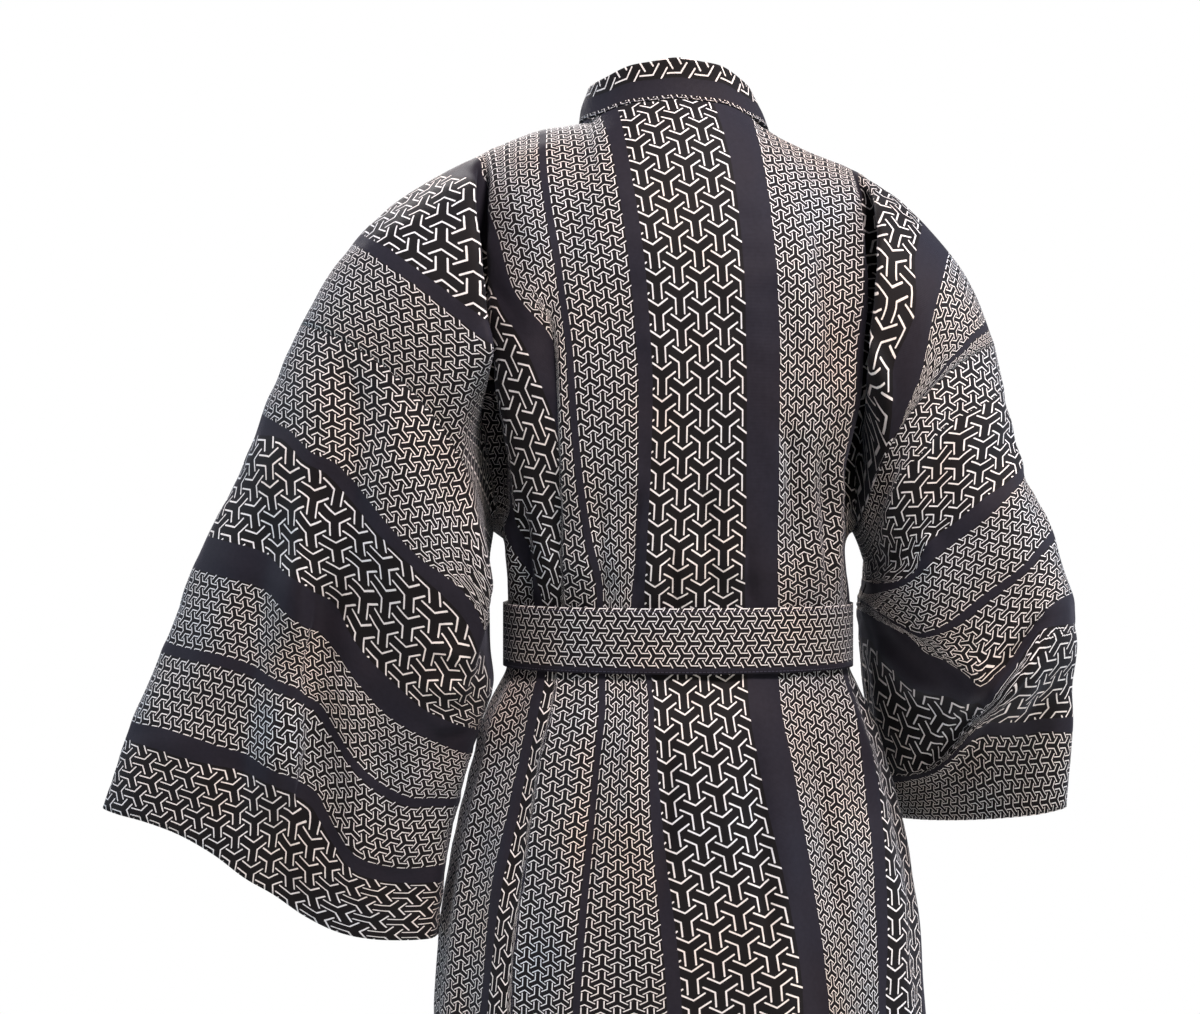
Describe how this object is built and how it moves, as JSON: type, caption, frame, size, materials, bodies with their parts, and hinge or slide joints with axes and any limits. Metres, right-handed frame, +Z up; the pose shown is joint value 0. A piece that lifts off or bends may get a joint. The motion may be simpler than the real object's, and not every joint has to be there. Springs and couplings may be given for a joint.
{
  "type": "happi coat",
  "caption": "Short wide-sleeved cotton coat with a collar band and a tied cloth belt, hollow and open as it hangs when worn.",
  "frame": {"origin": "middle of the neck, level with the shoulders that carry the coat", "axes": "+Z up along the standing coat, -Y the way its front faces, +X the wearer's left"},
  "size_m": [0.784, 0.2968, 0.9425],
  "materials": {
    "back": "woven cotton",
    "front_left": "woven cotton",
    "front_right": "woven cotton",
    "sleeve_left": "woven cotton",
    "sleeve_right": "woven cotton",
    "collar": "woven cotton",
    "belt": "woven cotton",
    "belt_knot": "woven cotton",
    "belt_end_left": "woven cotton",
    "belt_end_right": "woven cotton"
  },
  "bodies": {
    "root": {"back": "back", "front_left": "front_left", "front_right": "front_right", "sleeve_left": "sleeve_left", "sleeve_right": "sleeve_right", "collar": "collar", "belt": "belt", "belt_knot": "belt_knot", "belt_end_left": "belt_end_left", "belt_end_right": "belt_end_right"}
  },
  "joints": []
}
